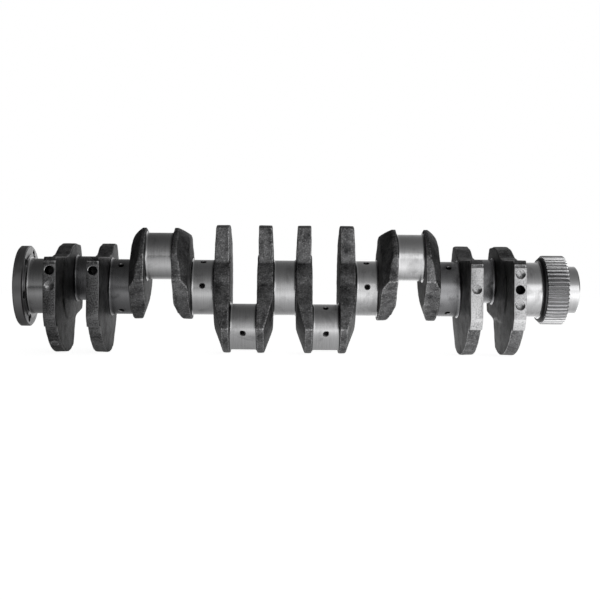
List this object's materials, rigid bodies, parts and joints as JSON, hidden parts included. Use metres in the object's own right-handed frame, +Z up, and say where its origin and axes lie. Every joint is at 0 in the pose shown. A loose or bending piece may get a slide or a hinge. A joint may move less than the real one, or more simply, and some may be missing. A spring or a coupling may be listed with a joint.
{
  "type": "crankshaft",
  "caption": "Forged in-line six crankshaft with counterweighted webs, ground journals, a bolted rear flange and a timing gear on its nose.",
  "frame": {"origin": "on the axis of rotation, in the middle of the fourth (centre) main journal", "axes": "+X along the axis of rotation towards the timing gear, +Z up with the middle throws down"},
  "size_m": [1.057, 0.2565, 0.2435],
  "materials": {
    "forged_steel": "rough forged and shot-blasted",
    "ground_journal": "ground and polished",
    "turned_steel": "turned",
    "gear_steel": "hobbed and hardened",
    "hardware_steel": "ground"
  },
  "bodies": {
    "root": {"rear_flange": "turned_steel", "flange_dowel": "hardware_steel", "main_journal_1": "ground_journal", "main_journal_2": "ground_journal", "main_journal_3": "ground_journal", "main_journal_4": "ground_journal", "main_journal_5": "ground_journal", "main_journal_6": "ground_journal", "main_journal_7": "ground_journal", "crankpin_1": "ground_journal", "crankpin_2": "ground_journal", "crankpin_3": "ground_journal", "crankpin_4": "ground_journal", "crankpin_5": "ground_journal", "crankpin_6": "ground_journal", "web_1": "forged_steel", "web_2": "forged_steel", "web_3": "forged_steel", "web_4": "forged_steel", "web_5": "forged_steel", "web_6": "forged_steel", "web_7": "forged_steel", "web_8": "forged_steel", "web_9": "forged_steel", "web_10": "forged_steel", "web_11": "forged_steel", "web_12": "forged_steel", "counterweight_1": "forged_steel", "counterweight_2": "forged_steel", "counterweight_5": "forged_steel", "counterweight_6": "forged_steel", "counterweight_7": "forged_steel", "counterweight_8": "forged_steel", "counterweight_11": "forged_steel", "counterweight_12": "forged_steel", "front_shoulder": "turned_steel", "front_nose": "turned_steel", "timing_gear": "gear_steel", "gear_key": "hardware_steel"}
  },
  "joints": []
}
